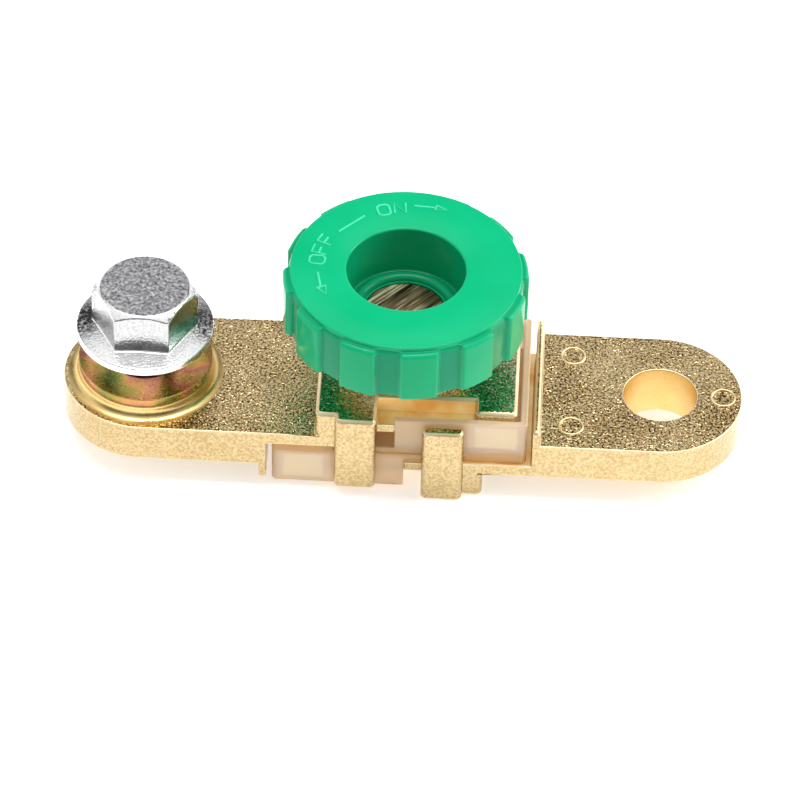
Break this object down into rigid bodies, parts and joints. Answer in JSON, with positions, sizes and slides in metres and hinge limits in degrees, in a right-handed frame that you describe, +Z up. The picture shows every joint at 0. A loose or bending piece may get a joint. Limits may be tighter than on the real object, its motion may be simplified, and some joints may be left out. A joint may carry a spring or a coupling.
{
  "type": "battery terminal disconnect switch",
  "caption": "Screw-knob isolator for a side-terminal battery: two plated castings held apart by insulating trays, bridged by a contact screw.",
  "frame": {"origin": "on the surface the lower casting stands on, on the knob's axis", "axes": "+X from the bolt eye towards the cable eye, +Z up along the knob's axis"},
  "size_m": [0.103, 0.0368, 0.0347],
  "materials": {
    "plated_casting": "brass plated zinc casting, granular skin",
    "milky_plastic": "translucent milky moulding",
    "green_plastic": "glossy moulding",
    "turned_brass": "turned, with tool marks",
    "sleeve_plastic": "satin",
    "yellow_passivate": "iridescent yellow passivated steel",
    "bright_zinc": "bright zinc plated steel"
  },
  "bodies": {
    "switch_base": {"casting_bolt_side": "plated_casting", "casting_cable_side": "plated_casting", "insulator_upper": "milky_plastic", "insulator_lower": "milky_plastic", "washer": "yellow_passivate", "terminal_bolt": "bright_zinc"},
    "screw_sleeve": {"neck_sleeve": "sleeve_plastic"},
    "knob_and_screw": {"knob": "green_plastic", "contact_screw": "turned_brass"}
  },
  "joints": [
    {"name": "screw_lift", "type": "slide", "parent": "switch_base", "child": "screw_sleeve", "axis": [0, 0, 1], "range_m": [-0.0045, 0]},
    {"name": "knob_turn", "type": "hinge", "parent": "screw_sleeve", "child": "knob_and_screw", "pos_m": [0, 0, 0.0259], "axis": [0, 0, 1], "range_deg": [-1080, 0]}
  ],
  "couplings": [
    {"joint": "knob_turn", "follows": "screw_lift", "rad_per_m": 4188.8}
  ]
}
